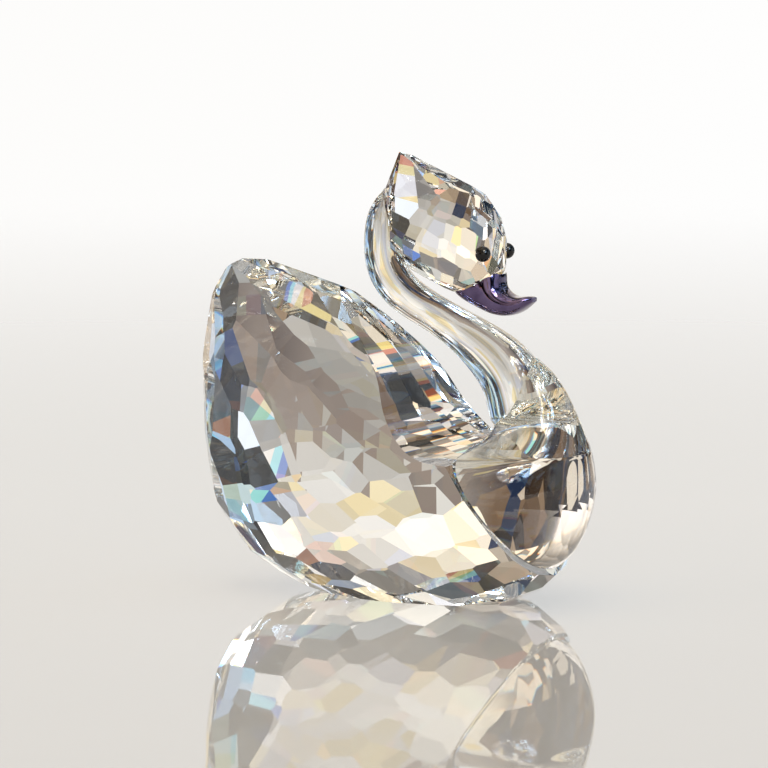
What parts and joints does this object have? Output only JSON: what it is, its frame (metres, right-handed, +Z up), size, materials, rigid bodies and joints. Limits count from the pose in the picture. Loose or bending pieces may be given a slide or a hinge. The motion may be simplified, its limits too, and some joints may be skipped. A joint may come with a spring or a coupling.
{
  "type": "crystal swan figurine",
  "caption": "Swan figurine in cut clear crystal, with a smooth curved neck and breast, a faceted head and body, a dark metal beak and black bead eyes.",
  "frame": {"origin": "on the flat base facet, below the middle of the overall length", "axes": "+Z up, +X the way the swan looks, +Y its left side"},
  "size_m": [0.0503, 0.0285, 0.0534],
  "materials": {
    "crystal": "polished",
    "adhesive": "clear cured adhesive",
    "violet_metal": "polished, dark violet plated",
    "jet_glass": "polished black"
  },
  "bodies": {
    "root": {"body_crystal": "crystal", "breast_crystal": "crystal", "neck_rod": "crystal", "head_crystal": "crystal", "beak": "violet_metal", "eye_left": "jet_glass", "eye_right": "jet_glass", "bond_body_breast": "adhesive", "bond_breast_neck": "adhesive", "bond_neck_head": "adhesive", "bond_head_beak": "adhesive", "bond_eye_left": "adhesive", "bond_eye_right": "adhesive"}
  },
  "joints": []
}
